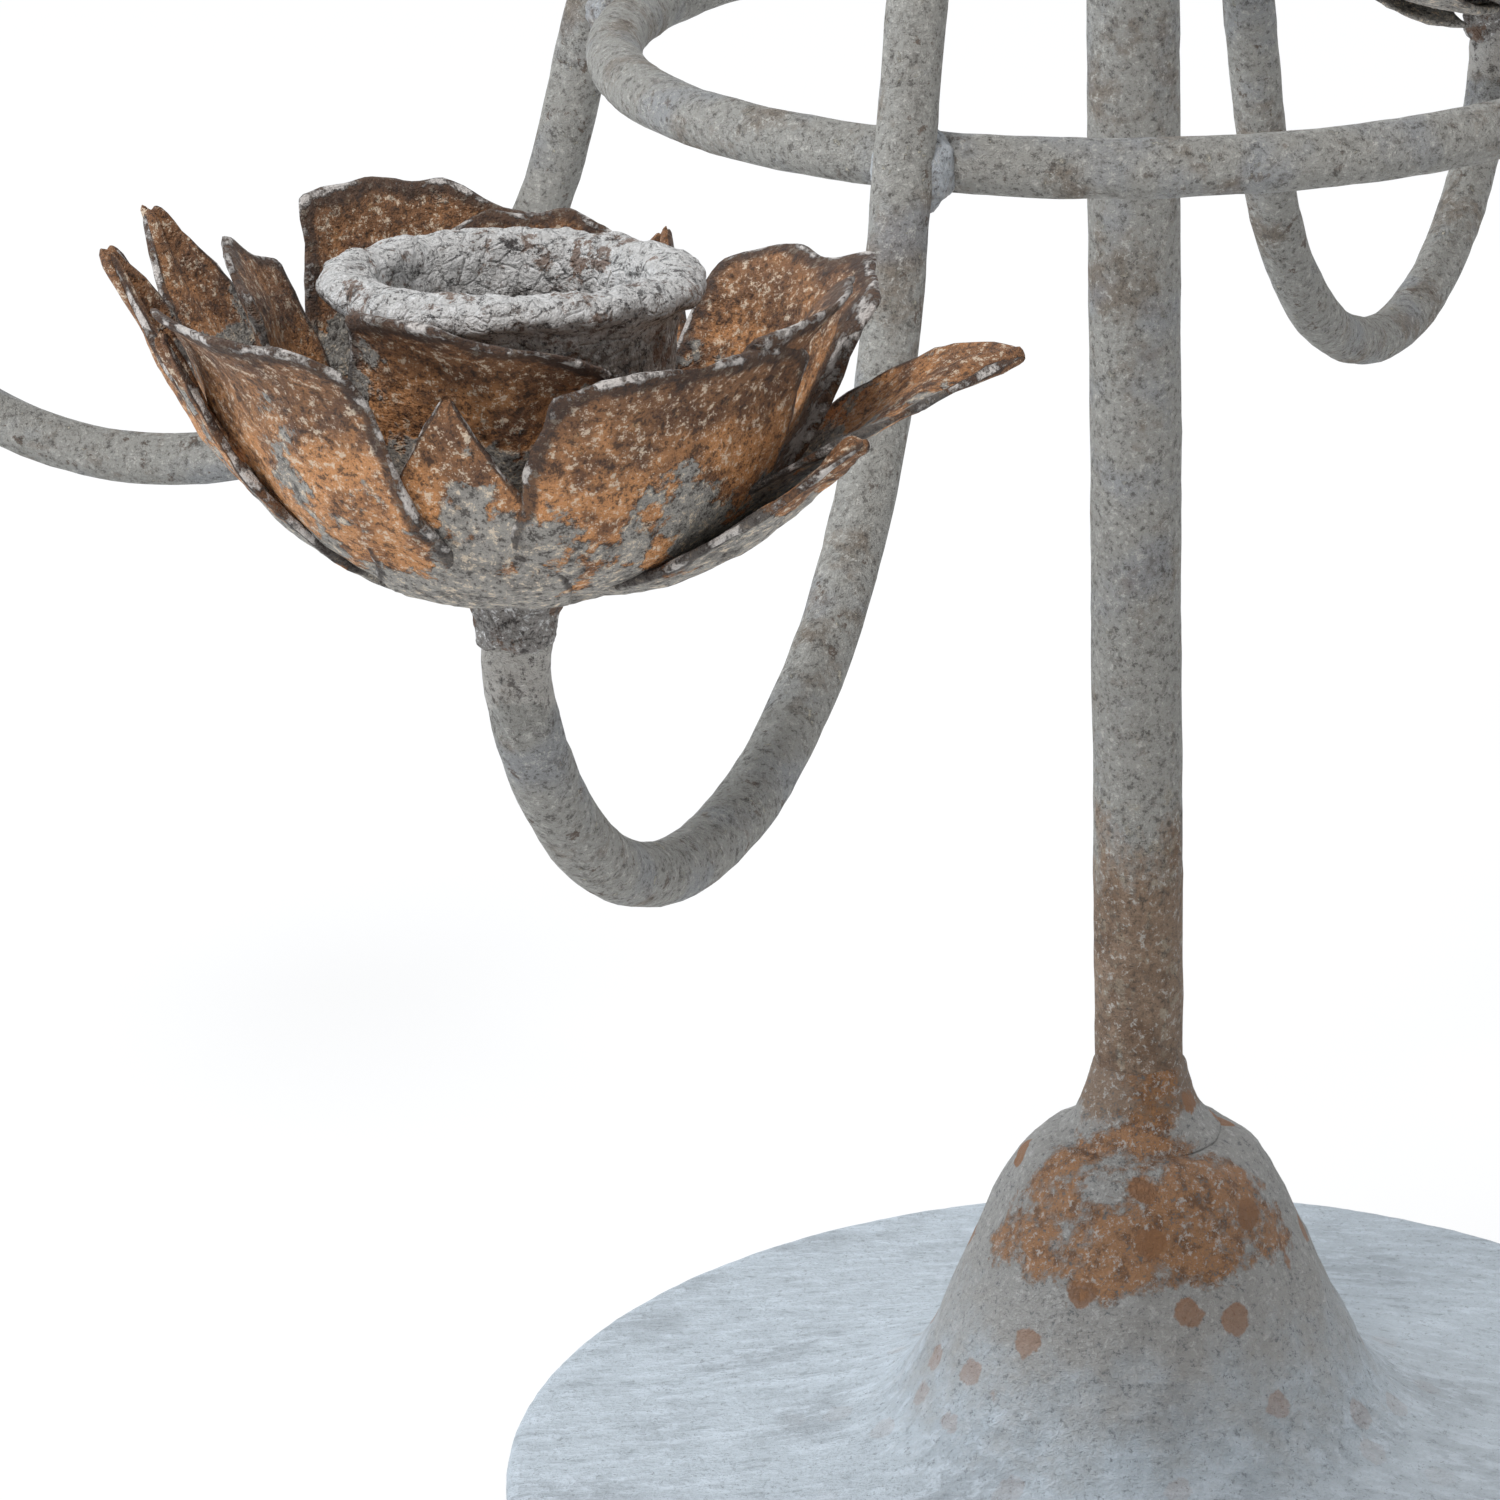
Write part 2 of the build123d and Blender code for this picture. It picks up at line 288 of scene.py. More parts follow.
def flake_end(paint):
    """Thick cracked flakes at the flower's end of an arm, where "rise" is high. The dark between
    them is partly cracks and partly painted shade.
    """
    rise = paint.attribute("rise")
    flaked = paint.plus(rise, paint.clouds(3.2, 7, 0.75, shift=14.0))
    paint.coat(FLAKE, paint.between(flaked, 1.12, 1.2), 0.75)
    # Partly dark cracks, partly painted shade between the flakes.
    cracks = paint.between(paint.clouds(2.2, 6, 0.8, shift=3.0), 0.56, 0.6)
    paint.coat(CRACK_AND_SHADE, paint.times(rise, cracks), 0.9)


def bar_paint(name, brown_below=None, flecks=0.5, flaked_end=False, ground=CHALK):
    paint = Paint(name, ground)
    mottle = paint.clouds(10, 7, 0.7)
    grain = paint.clouds(1.3, 4, 0.7)
    paint.coat(UNDERCOAT, paint.between(mottle, 0.52, 0.62), 0.65)
    cool = paint.clouds(9, 3, 0.5, shift=3.0)
    paint.coat(COOL_GREY, paint.between(cool, 0.52, 0.66), 0.5)
    if brown_below:
        wear_foot(paint, mottle, *brown_below)
    chips = paint.between(paint.clouds(2.6, 5, 0.7, shift=1.0), 0.61, 0.65)
    paint.coat(DARK_CHIP, chips, flecks)
    cream = paint.between(paint.clouds(2.2, 5, 0.75, shift=5.0), 0.62, 0.67)
    paint.coat(CREAM, cream, flecks)
    paint.coat(GRAIN_SHADE, paint.between(grain, 0.54, 0.66), 0.5)
    if flaked_end:
        flake_end(paint)
    speck = paint.clouds(1.0, 4, 0.85, shift=11.0)
    paint.coat(DARK_SPECK, paint.between(speck, 0.55, 0.63), 0.7)
    paint.coat(PALE_SPECK, paint.between(speck, 0.44, 0.37), 0.65)
    relief = paint.plus(paint.times(grain, 0.5), paint.clouds(4, 5, 0.6))
    relief = paint.plus(relief, paint.times(cream, 0.5))
    relief = paint.minus(relief, paint.times(speck, 0.6))
    return paint.finish(relief, 2.0, mottle, (0.62, 0.85))


arm_finish = bar_paint("bar paint", flecks=0.8, flaked_end=True)
plain_finish = bar_paint("collar paint", flecks=0.6)
bead_finish = bar_paint("bead paint", ground=BEAD_CHALK)
ring_finish = bar_paint("ring paint", flecks=0.55)
stem_finish = bar_paint("stem paint", brown_below=(60, 114), flecks=0.35)

# %% [markdown]
# ## Base paint
# The base has a light blue-grey brush coat. The brush left fine streaks, and on top of the
# bell the paint has come off in patches down to orange-brown rust.

# %% Colours on the base
BRUSH_COAT = (178, 186, 192)
DULL_PATCH = (144, 150, 155)
PALE_STREAK = (196, 204, 211)
DARK_STREAK = (136, 143, 148)
BELL_GREY = (160, 154, 146)
NECK_BROWN = (136, 107, 80)
BARE_RUST = (166, 116, 70)
DEEP_RUST = (92, 62, 40)
BELL_DIRT = (84, 76, 70)
BELL_SPECK = (206, 204, 200)
PLATE_SPECK = (112, 117, 120)
RUST_SPOT = (150, 104, 66)
print("the base's ground coat:", BRUSH_COAT)


# %% Base paint
def bare_patches(paint):
    """Bare metal high on the bell and on its front, which lies towards minus Y."""
    front = paint.between(paint.along("Y"), 5 * MM, -8 * MM)
    patches = paint.times(paint.between(paint.along("Z"), 27 * MM, 37 * MM), front)
    patches = paint.plus(patches, paint.times(paint.clouds(10, 8, 0.7, shift=0.02), 1.6))
    patches = paint.plus(patches, paint.times(paint.clouds(1.6, 5, 0.75), 0.4))
    return paint.between(patches, 1.84, 1.98)


def base_paint():
    paint = Paint("base paint", BRUSH_COAT)
    streaks = paint.clouds(2.2, 6, 0.7, (0.35, 1, 1))
    fine = paint.clouds(0.9, 3, 0.6)
    paint.coat(DULL_PATCH, paint.between(paint.clouds(16, 6, 0.6), 0.5, 0.66), 0.6)
    paint.coat(PALE_STREAK, paint.between(streaks, 0.5, 0.6), 0.7)
    paint.coat(DARK_STREAK, paint.between(streaks, 0.42, 0.34), 0.6)
    climb = paint.between(paint.along("Z"), 8 * MM, 40 * MM)
    greyed = paint.plus(climb, paint.clouds(6, 6, 0.7))
    paint.coat(BELL_GREY, paint.between(greyed, 0.7, 1.2), 0.8)
    near_neck = paint.between(paint.along("Z"), 49 * MM, 57 * MM)
    upper = paint.plus(near_neck, paint.clouds(5, 6, 0.75, shift=8.0))
    paint.coat(NECK_BROWN, paint.between(upper, 0.9, 1.05), 0.85)
    bare = bare_patches(paint)
    paint.coat(BARE_RUST, bare, 0.92)
    pits = paint.between(paint.clouds(2.2, 6, 0.75), 0.5, 0.6)
    paint.coat(DEEP_RUST, paint.times(bare, pits), 0.75)
    grit = paint.clouds(1.0, 4, 0.85, shift=6.0)
    paint.coat(BELL_DIRT, paint.times(climb, paint.between(grit, 0.57, 0.63)), 0.65)
    paint.coat(BELL_SPECK, paint.times(climb, paint.between(grit, 0.45, 0.39)), 0.65)
    paint.coat(PLATE_SPECK, paint.between(grit, 0.58, 0.64), 0.6)
    spots = paint.plus(paint.cells(9), paint.times(paint.clouds(2.5, 5, shift=2.0), 0.3))
    chips = paint.times(climb, paint.between(spots, 0.38, 0.35))
    paint.coat(RUST_SPOT, chips, 0.95)
    relief = paint.plus(paint.times(streaks, 0.8), paint.times(fine, 0.25))
    relief = paint.minus(relief, paint.times(bare, 0.5))
    relief = paint.minus(relief, paint.times(paint.times(climb, grit), 1.2))
    return paint.finish(relief, 1.8, streaks, (0.55, 0.8))


base_finish = base_paint()

# %% [markdown]
# ## Rusted petals
# A petal is grey paint near the stalk and bare rust near the rim, dark brown where it is
# oldest and orange where it is fresh. A band of painted shade lies along its edges, and
# broken lines of painted highlight lie on its rim.
# So the petals carry two values of their own, how far up a point is and how near the edge, and
# the finish reads those instead of guessing from the place.

# %% Colours on the petals
PETAL_GREY = (160, 155, 147)
PETAL_SHADE = (112, 106, 98)
PETAL_PALE = (176, 172, 166)
FRESH_RUST = (208, 142, 82)
BROWN_RUST = (116, 74, 46)
OLDEST_RUST = (88, 60, 42)
RUST_PIT = (60, 42, 32)
RUST_DUST = (186, 150, 110)
DARK_GRIT = (40, 28, 22)
PALE_GRIT = (236, 216, 190)
# Painted shade for the edges of the petals.
PAINTED_EDGE_SHADE = (44, 32, 27)
# Painted highlight for the rims of the petals.
PAINTED_RIM_HIGHLIGHT = (212, 204, 197)
print("the petals' ground coat:", PETAL_GREY)


# %% Petal paint
def petal_paint(name, grey_share):
    paint = Paint(name, PETAL_GREY, roughness=0.8)
    rise = paint.attribute("rise")
    edge = paint.attribute("edge")
    broad = paint.clouds(11, 6, 0.65)
    middle = paint.clouds(4.5, 7, 0.7)
    fine = paint.clouds(1.1, 4, 0.7)
    paint.coat(PETAL_SHADE, paint.between(middle, 0.5, 0.62), 0.7)
    paint.coat(PETAL_PALE, paint.between(paint.clouds(2, 5, 0.7, shift=4.0), 0.6, 0.68), 0.6)
    wear = paint.plus(rise, paint.times(paint.minus(broad, 0.5), 2.2))
    rust = paint.between(wear, grey_share, grey_share + 0.06)
    paint.coat(FRESH_RUST, rust, 0.92)
    paint.coat(BROWN_RUST, paint.times(rust, paint.between(middle, 0.5, 0.6)), 0.75)
    old = paint.between(paint.plus(rise, paint.times(middle, 0.9)), 1.12, 1.32)
    paint.coat(OLDEST_RUST, paint.times(rust, old), 0.7)
    paint.coat(RUST_PIT, paint.between(paint.clouds(1.6, 5, 0.75, shift=6.0), 0.59, 0.66), 0.75)
    paint.coat(RUST_DUST, paint.between(paint.clouds(1.3, 4, 0.75, shift=9.0), 0.62, 0.68), 0.5)
    grit = paint.clouds(1.1, 4, 0.85, shift=13.0)
    paint.coat(DARK_GRIT, paint.between(grit, 0.54, 0.6), 0.75)
    paint.coat(PALE_GRIT, paint.between(grit, 0.45, 0.39), 0.75)
    # Painted shade: a dark band laid along the edges of each petal.
    near = paint.plus(edge, paint.times(paint.minus(middle, 0.5), 0.9))
    paint.coat(PAINTED_EDGE_SHADE, paint.between(near, 0.52, 0.70), 0.75)
    # Painted highlight: broken pale lines on the rim, over the painted shade.
    highlight_pieces = paint.between(paint.clouds(3, 6, 0.7, shift=8.0), 0.49, 0.56)
    rim = paint.times(paint.between(near, 0.86, 0.92), highlight_pieces)
    paint.coat(PAINTED_RIM_HIGHLIGHT, rim, 0.9)
    relief = paint.plus(paint.times(middle, 1.0), paint.times(fine, 0.45))
    relief = paint.minus(relief, paint.times(rust, 0.25))
    relief = paint.plus(relief, paint.times(rim, 0.25))
    return paint.finish(relief, 2.2, broad, (0.6, 0.9))


outer_finish = petal_paint("outer petal rust", 0.56)
inner_finish = petal_paint("inner petal rust", 0.66)
calyx_finish = petal_paint("calyx rust", 0.64)

# %% [markdown]
# ## Cracked cup paint
# The cups have the thickest paint: off-white, cracked into scales, with rust and dark
# dirt in the cracks. Scales come from a cell texture, whose distance to the nearest cell
# wall is small along the cracks.

# %% Colours on the cups
CUP_GREY = (158, 152, 146)
CUP_WHITE = (240, 237, 233)
CUP_DARK_GRIT = (40, 34, 31)
CUP_PALE_GRIT = (250, 247, 244)
CUP_RUST = (118, 84, 58)
CUP_CRACK = (70, 52, 44)
CUP_BROWN = (84, 64, 50)
CUP_DIRT = (46, 38, 34)
print("the cups' ground coat:", CUP_GREY)


# %% Cup paint
def cup_paint(name, whiteness=1.0):
    paint = Paint(name, CUP_GREY, roughness=0.8)
    middle = paint.clouds(4, 7, 0.7)
    fine = paint.clouds(1.0, 4, 0.7)
    high = paint.attribute("rise")
    scales = paint.cells(1.9, "DISTANCE_TO_EDGE")
    white = paint.between(paint.plus(high, paint.times(middle, 1.2)), 1.15, 1.35)
    paint.coat(CUP_WHITE, white, 0.8 * whiteness)
    grit = paint.clouds(1.2, 4, 0.85, shift=9.0)
    paint.coat(CUP_DARK_GRIT, paint.between(grit, 0.55, 0.6), 0.8)
    paint.coat(CUP_PALE_GRIT, paint.between(grit, 0.45, 0.39), 0.8)
    paint.coat(CUP_RUST, paint.between(paint.clouds(4.5, 7, 0.75, shift=2.0), 0.56, 0.6), 0.8)
    cracks = paint.between(paint.plus(scales, paint.times(middle, 0.5)), 0.27, 0.21)
    paint.coat(CUP_CRACK, cracks, 0.35)
    paint.coat(CUP_BROWN, paint.between(paint.clouds(1.8, 5, 0.75, shift=6.0), 0.57, 0.63), 0.75)
    paint.coat(CUP_DIRT, paint.between(paint.clouds(2.6, 6, 0.75, shift=12.0), 0.6, 0.64), 0.85)
    plates = paint.times(paint.between(scales, 0.0, 0.1), 0.2)
    relief = paint.plus(plates, paint.times(middle, 1.8))
    relief = paint.plus(relief, paint.times(fine, 0.4))
    return paint.finish(relief, 1.8, middle, (0.55, 0.85))


cup_finish = cup_paint("cracked cup paint")
flake_finish = cup_paint("flaked stub paint", 0.9)

# %% [markdown]
# ## Felt and steel
# The felt disc, the washer and the nut are out of sight under the base. They keep their
# measured solids and get a plain cloth and a plain steel, each with some grain.

# %% Felt and steel
FELT_BLACK = (38, 38, 40)
FELT_FLUFF = (66, 66, 68)
STEEL = (150, 150, 152)
STEEL_STAIN = (110, 104, 98)


def felt_paint():
    paint = Paint("black felt", FELT_BLACK, roughness=0.95)
    fluff = paint.clouds(0.6, 6, 0.8)
    paint.coat(FELT_FLUFF, paint.between(fluff, 0.5, 0.7), 0.6)
    return paint.finish(fluff, 0.3)


def steel_paint():
    paint = Paint("plain steel", STEEL, roughness=0.4, metallic=1.0)
    grain = paint.clouds(1.5, 4, 0.6, (1, 1, 6))
    paint.coat(STEEL_STAIN, paint.between(paint.clouds(5, 5), 0.5, 0.7), 0.7)
    return paint.finish(grain, 0.08, grain, (0.3, 0.5))


felt_finish = felt_paint()
steel_finish = steel_paint()

# %% [markdown]
# ## Bending bar
# A smith bends an arm from one straight bar, one bend after the other. The same can be
# done here: a circle is the end of the bar, it is pushed out along the straights and
# spun round the middle of each bend. The result is a tube that follows the real centreline.

# %% Draw a bar
STEP = 2.0 * MM
SAME_POINT = 0.01 * MM
END_TOLERANCE = 1.05


def draw_bar(name, start, way, runs, radius, sides=32):
    """Draw a bar along its runs: (length, direction), or (bend radius, angle, inward)."""
    place = Vector(start)
    way = Vector(way).normalized()
    bpy.ops.object.select_all(action="DESELECT")
    lie = way.to_track_quat("Z", "Y").to_euler()
    bpy.ops.mesh.primitive_circle_add(vertices=sides, radius=radius, location=place, rotation=lie)
    piece = bpy.context.object
    piece.name = name
    settle(piece)
    bpy.ops.object.mode_set(mode="EDIT")
    bpy.ops.mesh.select_all(action="SELECT")
    for run in runs:
        if len(run) == 2:
            length, new_way = run
            way = Vector(new_way).normalized()
            pushes = max(1, ceil(length / STEP))
            for _ in range(pushes):
                push = {"value": way * length / pushes}
                bpy.ops.mesh.extrude_region_move(TRANSFORM_OT_translate=push)
            place = place + way * length
        else:
            bend, angle, inward = run
            middle = place + Vector(inward) * bend
            axis = way.cross(Vector(inward))
            turns = max(2, ceil(bend * angle / STEP))
            bpy.ops.mesh.spin(steps=turns, angle=-angle, center=middle, axis=axis)
            swing = Matrix.Rotation(angle, 3, axis)
            place = middle + swing @ (place - middle)
            way = swing @ way
    bpy.ops.mesh.select_all(action="SELECT")
    bpy.ops.mesh.remove_doubles(threshold=SAME_POINT)
    bpy.ops.mesh.select_all(action="DESELECT")
    bpy.ops.mesh.select_non_manifold()
    bpy.ops.mesh.edge_face_add()
    bpy.ops.mesh.select_all(action="SELECT")
    bpy.ops.mesh.normals_make_consistent(inside=False)
    bpy.ops.object.mode_set(mode="OBJECT")
    reach = radius * END_TOLERANCE
    ends = [vertex for vertex in piece.data.vertices if (vertex.co - place).length < reach]
    end_place = [round(value / MM, 1) for value in place]
    print(name, "ends", end_place, "ring found:", len(ends) >= sides)
    return piece, place, way


# %% [markdown]
# ## The stem and the spreader ring
# The stem is the thickest bar. The ring is a bar closed on itself, so a torus is its
# start. Both get long soft lumps and short ones.

# %% Stem and ring
RING_HEIGHT = 186.0 * MM
RING_RADIUS = 60.0 * MM
BAR_RADIUS = 3.25 * MM
STEM_RADIUS = 5.4 * MM
STEM_FOOT = 16.5 * MM
CAGE = 132.0 * MM
COLLAR_MIDDLE = RING_HEIGHT + CAGE
COLLAR_HALF = 6.0 * MM

stem_length = COLLAR_MIDDLE + COLLAR_HALF - STEM_FOOT
stem_runs = [(stem_length, (0, 0, 1))]
stem, _, _ = draw_bar("stem", (0, 0, STEM_FOOT), (0, 0, 1), stem_runs, STEM_RADIUS, 40)
roughen(stem, 0.35, 9)
roughen(stem, 0.16, 2.2)
stand_in(stem, "painted_stem", "stem", stem_finish)

bpy.ops.object.select_all(action="DESELECT")
bpy.ops.mesh.primitive_torus_add(
    location=(0, 0, RING_HEIGHT),
    major_radius=RING_RADIUS,
    minor_radius=BAR_RADIUS,
    major_segments=240,
    minor_segments=28,
)
ring = bpy.context.object
settle(ring)
roughen(ring, 0.4, 8)
roughen(ring, 0.2, 2.2)
stand_in(ring, "painted_ring", "spreader_ring", ring_finish)

# %% [markdown]
# ## The four arms
# Every arm leaves the collar level, turns down, leans out past the ring and hooks up to
# its cup. A smith sets them by eye, so each has its own direction, depth and sweep. The
# numbers are the real ones, in millimetres and degrees.

# %% How the arms are set
LEAN = radians(15)
ACROSS_THE_RING = 6.6 * MM
CONTACT = RING_RADIUS + ACROSS_THE_RING / cos(LEAN)
CROWN_BEND = 22.0 * MM
TAIL_START = 8.0 * MM
HOOK_INNER = 58.3 * MM
HOOK_OUTER = 47.3 * MM
SEAT_BEND = 20.0 * MM
SEAT_STRAIGHT = 5.0 * MM
# The thick flakes are full up to about a third of their reach, and thin out beyond that.
FLAKED_FULL = 1.35
FLAKED_REACH = 17 * MM
# direction, turn of the hook, drop before the hook, outer sweep, lean of the cup, flower's turn
ARMS = {
    "front": (-111.6, 3.1, 11.7, 64.0, 4.0, 6.0),
    "right": (-17.0, -2.0, 16.0, 63.0, 0.0, 56.0),
    "back": (78.4, -9.2, 27.8, 54.0, 1.0, 166.0),
    "left": (163.7, 3.4, 16.6, 64.0, 0.0, 256.0),
}
UP = Vector((0, 0, 1))


def level(azimuth):
    return Vector((cos(radians(azimuth)), sin(radians(azimuth)), 0))


def arm_runs(out, hook_out, drop, sweep, cup_lean):
    """The straights and bends of one arm, from the collar to the seat of its flower."""
    fall = CAGE - CROWN_BEND * (1 - sin(LEAN))
    crown_end = CONTACT - fall * tan(LEAN)
    tail = crown_end - CROWN_BEND * cos(LEAN) - TAIL_START
    down = out * sin(LEAN) - UP * cos(LEAN)
    hook_down = hook_out * sin(LEAN) - UP * cos(LEAN)
    inward_end = UP * cos(radians(sweep)) - hook_out * sin(radians(sweep))
    cup_axis = UP * cos(radians(cup_lean)) - hook_out * sin(radians(cup_lean))
    return [
        (tail, out),
        (CROWN_BEND, pi / 2 - LEAN, -UP),
        (fall / cos(LEAN), down),
        (drop * MM / cos(LEAN), hook_down),
        (HOOK_INNER, pi / 2 - LEAN, hook_out * cos(LEAN) + UP * sin(LEAN)),
        (HOOK_OUTER, radians(sweep), UP),
        (SEAT_BEND, radians(90 - sweep + cup_lean), inward_end),
        (SEAT_STRAIGHT, cup_axis),
    ]


print("an arm passes the ring at a radius of", round(CONTACT / MM, 1), "mm")


# %% Arms
def nearness(place, seat):
    return FLAKED_FULL - (place - seat).length / FLAKED_REACH


seats = {}
for place_name, (azimuth, twist, drop, sweep, cup_lean, flower_turn) in ARMS.items():
    out = level(azimuth)
    runs = arm_runs(out, level(azimuth + twist), drop, sweep, cup_lean)
    start = out * TAIL_START + UP * COLLAR_MIDDLE
    arm, seat, axis = draw_bar("arm", start, out, runs, BAR_RADIUS)
    roughen(arm, 0.4, 8)
    roughen(arm, 0.22, 2.2)
    give_values(arm, "rise", lambda place: nearness(place, seat))
    mark_vertices(arm, "stalk", lambda place: nearness(place, seat))
    roughen(arm, 1.2, 2.6, 3, "stalk")
    stand_in(arm, f"painted_arm_{place_name}", f"arm_{place_name}", arm_finish)
    seats[place_name] = (seat, axis, flower_turn)

# %% [markdown]
# ## Weld beads
# Where an arm crosses the ring, a bead of weld fills the corners and paint has run over it.
# A small ball is squeezed flat along the radius and given large lumps.

# %% Weld beads
BEAD_RADIUS = 5.2 * MM
BEAD_INSET = 3.3 * MM
BEAD_SQUEEZE = (0.82, 0.9, 0.92)


def weld_bead(place_name, azimuth):
    middle = level(azimuth) * (CONTACT - BEAD_INSET) + UP * RING_HEIGHT
    lie = (0, 0, radians(azimuth))
    bpy.ops.object.select_all(action="DESELECT")
    bpy.ops.mesh.primitive_ico_sphere_add(
        subdivisions=5, radius=BEAD_RADIUS, location=middle, rotation=lie
    )
    bead = bpy.context.object
    bead.scale = BEAD_SQUEEZE
    settle(bead)
    roughen(bead, 1.9, 3.5)
    roughen(bead, 0.4, 1.4)
    stand_in(bead, f"weld_bead_{place_name}", f"ring_weld_{place_name}", bead_finish)


for place_name, settings in ARMS.items():
    weld_bead(place_name, settings[0])

# %% [markdown]
# ## Turned forms
# The base, the neck, the cups and the collar are round about an axis, as if turned on a
# lathe. A circle is pushed up and scaled to each next radius of the outline, which leaves
# a shell, and a Subdivision Surface rounds the steps between.

# %% Turn an outline
ROUNDING = 2


def turned(name, outline, steps):
    first_radius, first_height = outline[0]
    bpy.ops.object.select_all(action="DESELECT")
    foot = (0, 0, first_height * MM)
    bpy.ops.mesh.primitive_circle_add(vertices=steps, radius=first_radius * MM, location=foot)
    piece = bpy.context.object
    piece.name = name
    settle(piece)
    bpy.ops.object.mode_set(mode="EDIT")
    bpy.ops.mesh.select_all(action="SELECT")
    for (radius, height), (next_radius, next_height) in zip(outline, outline[1:]):
        rise = (0, 0, (next_height - height) * MM)
        bpy.ops.mesh.extrude_region_move(TRANSFORM_OT_translate={"value": rise})
        share = next_radius / radius
        middle = (0, 0, next_height * MM)
        bpy.ops.transform.resize(value=(share, share, 1), center_override=middle)
    bpy.ops.mesh.select_all(action="DESELECT")
    bpy.ops.mesh.select_non_manifold()
    bpy.ops.mesh.edge_face_add()
    bpy.ops.mesh.select_all(action="SELECT")
    bpy.ops.mesh.normals_make_consistent(inside=False)
    bpy.ops.object.mode_set(mode="OBJECT")
    smooth = piece.modifiers.new("smooth", "SUBSURF")
    smooth.levels = ROUNDING
    smooth.render_levels = ROUNDING
    apply_all(piece)
    print(name, "turned from", len(outline), "radii")
    return piece


# %% [markdown]
# ## Base and neck
# The base is one casting: a flat plate with a thin edge that sweeps up into a bell. The
# neck is the run of braze that joins it to the stem. Two radii close together keep an
# edge crisp, and wide steps make a soft sweep.

# %% Base and neck
BASE_OUTLINE = [
    (6.2, 1.3), (40, 1.3), (78.6, 1.3), (79.7, 1.6), (79.9, 2.8), (79.7, 4.5), (78.8, 5.1),
    (74, 5.5), (62, 6.6), (52, 7.7), (44, 8.9), (37.5, 10.3), (33, 12.0), (29.8, 14.8),
    (27.2, 19.4), (24.6, 25), (21.4, 32), (18.5, 38.6), (16.7, 42.6), (14.9, 45.8),
    (12.6, 48.0), (9.9, 48.9), (6.2, 49.0),
]
BELL_FOOT = 8
BELL_FADE = 14
base = turned("base", BASE_OUTLINE, 128)
mark_vertices(base, "bell", lambda place: (place.z / MM - BELL_FOOT) / BELL_FADE)
roughen(base, 1.3, 8, 3, "bell")
roughen(base, 0.22, 3)
stand_in(base, "painted_base", "base_plate", base_finish)

NECK_OUTLINE = [
    (5.0, 48.2), (9.6, 48.3), (10.2, 48.8), (9.2, 49.7), (8.1, 51.0), (7.2, 52.8),
    (6.4, 55.0), (5.9, 57.2), (5.6, 58.2), (5.0, 58.3),
]
neck = turned("neck", NECK_OUTLINE, 48)
roughen(neck, 0.6, 3.5)
stand_in(neck, "braze_neck", "neck_bead", base_finish)

# %% [markdown]
# ## Collar and finial
# The collar holds the four arms at the top, and the finial is the nut that pulls it
# down. The picture ends below them, so they are plain turned forms in the same paint.

# %% Collar and finial
MIDDLE = COLLAR_MIDDLE / MM
COLLAR_OUTLINE = [
    (4.6, MIDDLE - 5.9), (11.6, MIDDLE - 5.9), (12.6, MIDDLE - 5.5), (12.9, MIDDLE - 4.6),
    (12.9, MIDDLE), (12.9, MIDDLE + 4.6), (12.6, MIDDLE + 5.5), (11.6, MIDDLE + 5.9),
    (4.6, MIDDLE + 5.9),
]
collar = turned("collar", COLLAR_OUTLINE, 64)
roughen(collar, 0.4, 4)
stand_in(collar, "painted_collar", "top_collar", plain_finish)

TOP = MIDDLE + 6.0
FINIAL_OUTLINE = [
    (6.3, TOP + 0.1), (6.3, TOP + 0.9), (4.9, TOP + 3.6), (5.2, TOP + 5.4), (7.3, TOP + 8.0),
    (7.7, TOP + 10.5), (6.8, TOP + 14.0), (4.6, TOP + 18.0), (2.2, TOP + 20.6),
    (0.7, TOP + 21.6),
]
finial = turned("finial", FINIAL_OUTLINE, 64)
roughen(finial, 0.4, 4)
stand_in(finial, "painted_finial", "finial", plain_finish)

# %% [markdown]
# ## Petals
# A petal is a tongue of thin sheet that was hammered hollow. Its start is a flat square
# grid. Each point of the grid says how far across the petal it lies and how far up,
# and from those it is moved to its place on the hammered form: up a curved spine, out to
# the petal's width there, and round the flower's axis. Then Solidify makes the sheet.

# %% The outline of a petal
FLOOR_EDGE = (6.0, 0.5)
LOW_HEIGHT = 1.2
WIDEST_AT = 0.6


def spine(share, tip, belly):
    """A point (radius, height) of the petal's middle line, from the floor to its tip."""
    floor = Vector(FLOOR_EDGE)
    low = Vector((belly[0], LOW_HEIGHT))
    high = Vector((belly[1], belly[2]))
    end = Vector(tip)
    rest = 1 - share
    return floor * rest**3 + low * 3 * rest**2 * share + high * 3 * rest * share**2 + end * share**3


def half_width(share, widths, pointed):
    root, widest, top = widths
    if share < WIDEST_AT:
        ease = sin(share / WIDEST_AT * pi / 2)
        return root + (widest - root) * ease
    ease = (share - WIDEST_AT) / (1 - WIDEST_AT)
    if pointed:
        return widest + (top - widest) * (0.8 * ease + 0.2 * ease * ease)
    return widest + (top - widest) * ease * ease


print("a petal is widest at", WIDEST_AT, "of its height")


# %% Shape one petal
SHEET = 0.95 * MM
TIGHTEST = 7.0
LIP_START = 0.84
LIP_LENGTH = 0.16


def uneven(x, y, z):
    return noise.noise(Vector((x, y, z)))


